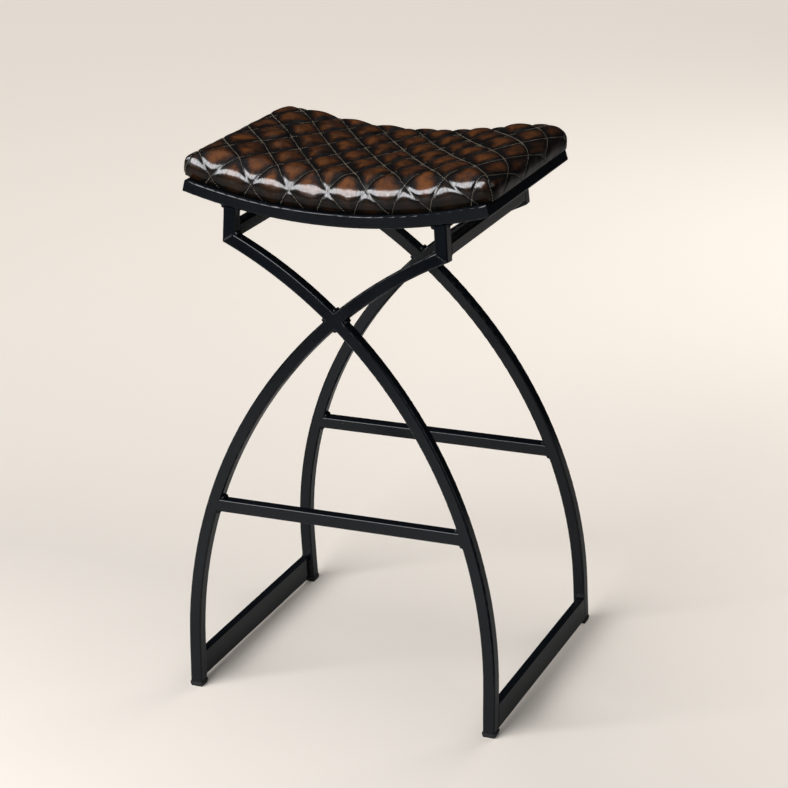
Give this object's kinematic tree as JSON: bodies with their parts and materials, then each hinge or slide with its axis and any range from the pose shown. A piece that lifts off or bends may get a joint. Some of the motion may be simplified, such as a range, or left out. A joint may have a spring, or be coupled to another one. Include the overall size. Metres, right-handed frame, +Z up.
{
  "type": "bar stool",
  "caption": "Backless bar stool with crossed bent-tube legs, footrests and a saddle-shaped quilted leather seat.",
  "frame": {"origin": "on the floor, at the centre of the base and below the middle of the seat", "axes": "+Z up, front towards -Y, +X to the sitter's right-hand side as seen from the front"},
  "size_m": [0.475, 0.403, 0.7854],
  "materials": {
    "black_powder_coat": "satin black powder coat on square steel tube",
    "weld_seam": "rippled weld beads under the same black coat",
    "cap_plastic": "matt black moulded plastic",
    "bent_plywood": "bare moulded plywood",
    "seat_foam": "cut foam",
    "brown_leather": "waxed, antiqued dark brown leather, quilted with pale thread",
    "dust_cloth": "thin black non-woven cloth",
    "zinc_screws": "zinc-plated"
  },
  "bodies": {
    "root": {"front_leg_long": "black_powder_coat", "front_leg_upper": "black_powder_coat", "front_leg_lower": "black_powder_coat", "front_footrest": "black_powder_coat", "front_post_left": "black_powder_coat", "front_post_right": "black_powder_coat", "back_leg_long": "black_powder_coat", "back_leg_upper": "black_powder_coat", "back_leg_lower": "black_powder_coat", "back_footrest": "black_powder_coat", "back_post_left": "black_powder_coat", "back_post_right": "black_powder_coat", "floor_rail_left": "black_powder_coat", "floor_rail_right": "black_powder_coat", "under_seat_rail_left": "black_powder_coat", "under_seat_rail_right": "black_powder_coat", "seat_rail_front": "black_powder_coat", "seat_rail_back": "black_powder_coat", "seat_rail_left": "black_powder_coat", "seat_rail_right": "black_powder_coat", "front_frame_welds": "weld_seam", "back_frame_welds": "weld_seam", "floor_rail_welds": "weld_seam", "under_seat_rail_welds": "weld_seam", "seat_frame_welds": "weld_seam", "foot_cap_front_left": "cap_plastic", "foot_cap_front_right": "cap_plastic", "foot_cap_back_left": "cap_plastic", "foot_cap_back_right": "cap_plastic", "seat_board": "bent_plywood", "foam_pad": "seat_foam", "leather_cover": "brown_leather", "dust_cover": "dust_cloth", "seat_screws": "zinc_screws"}
  },
  "joints": []
}
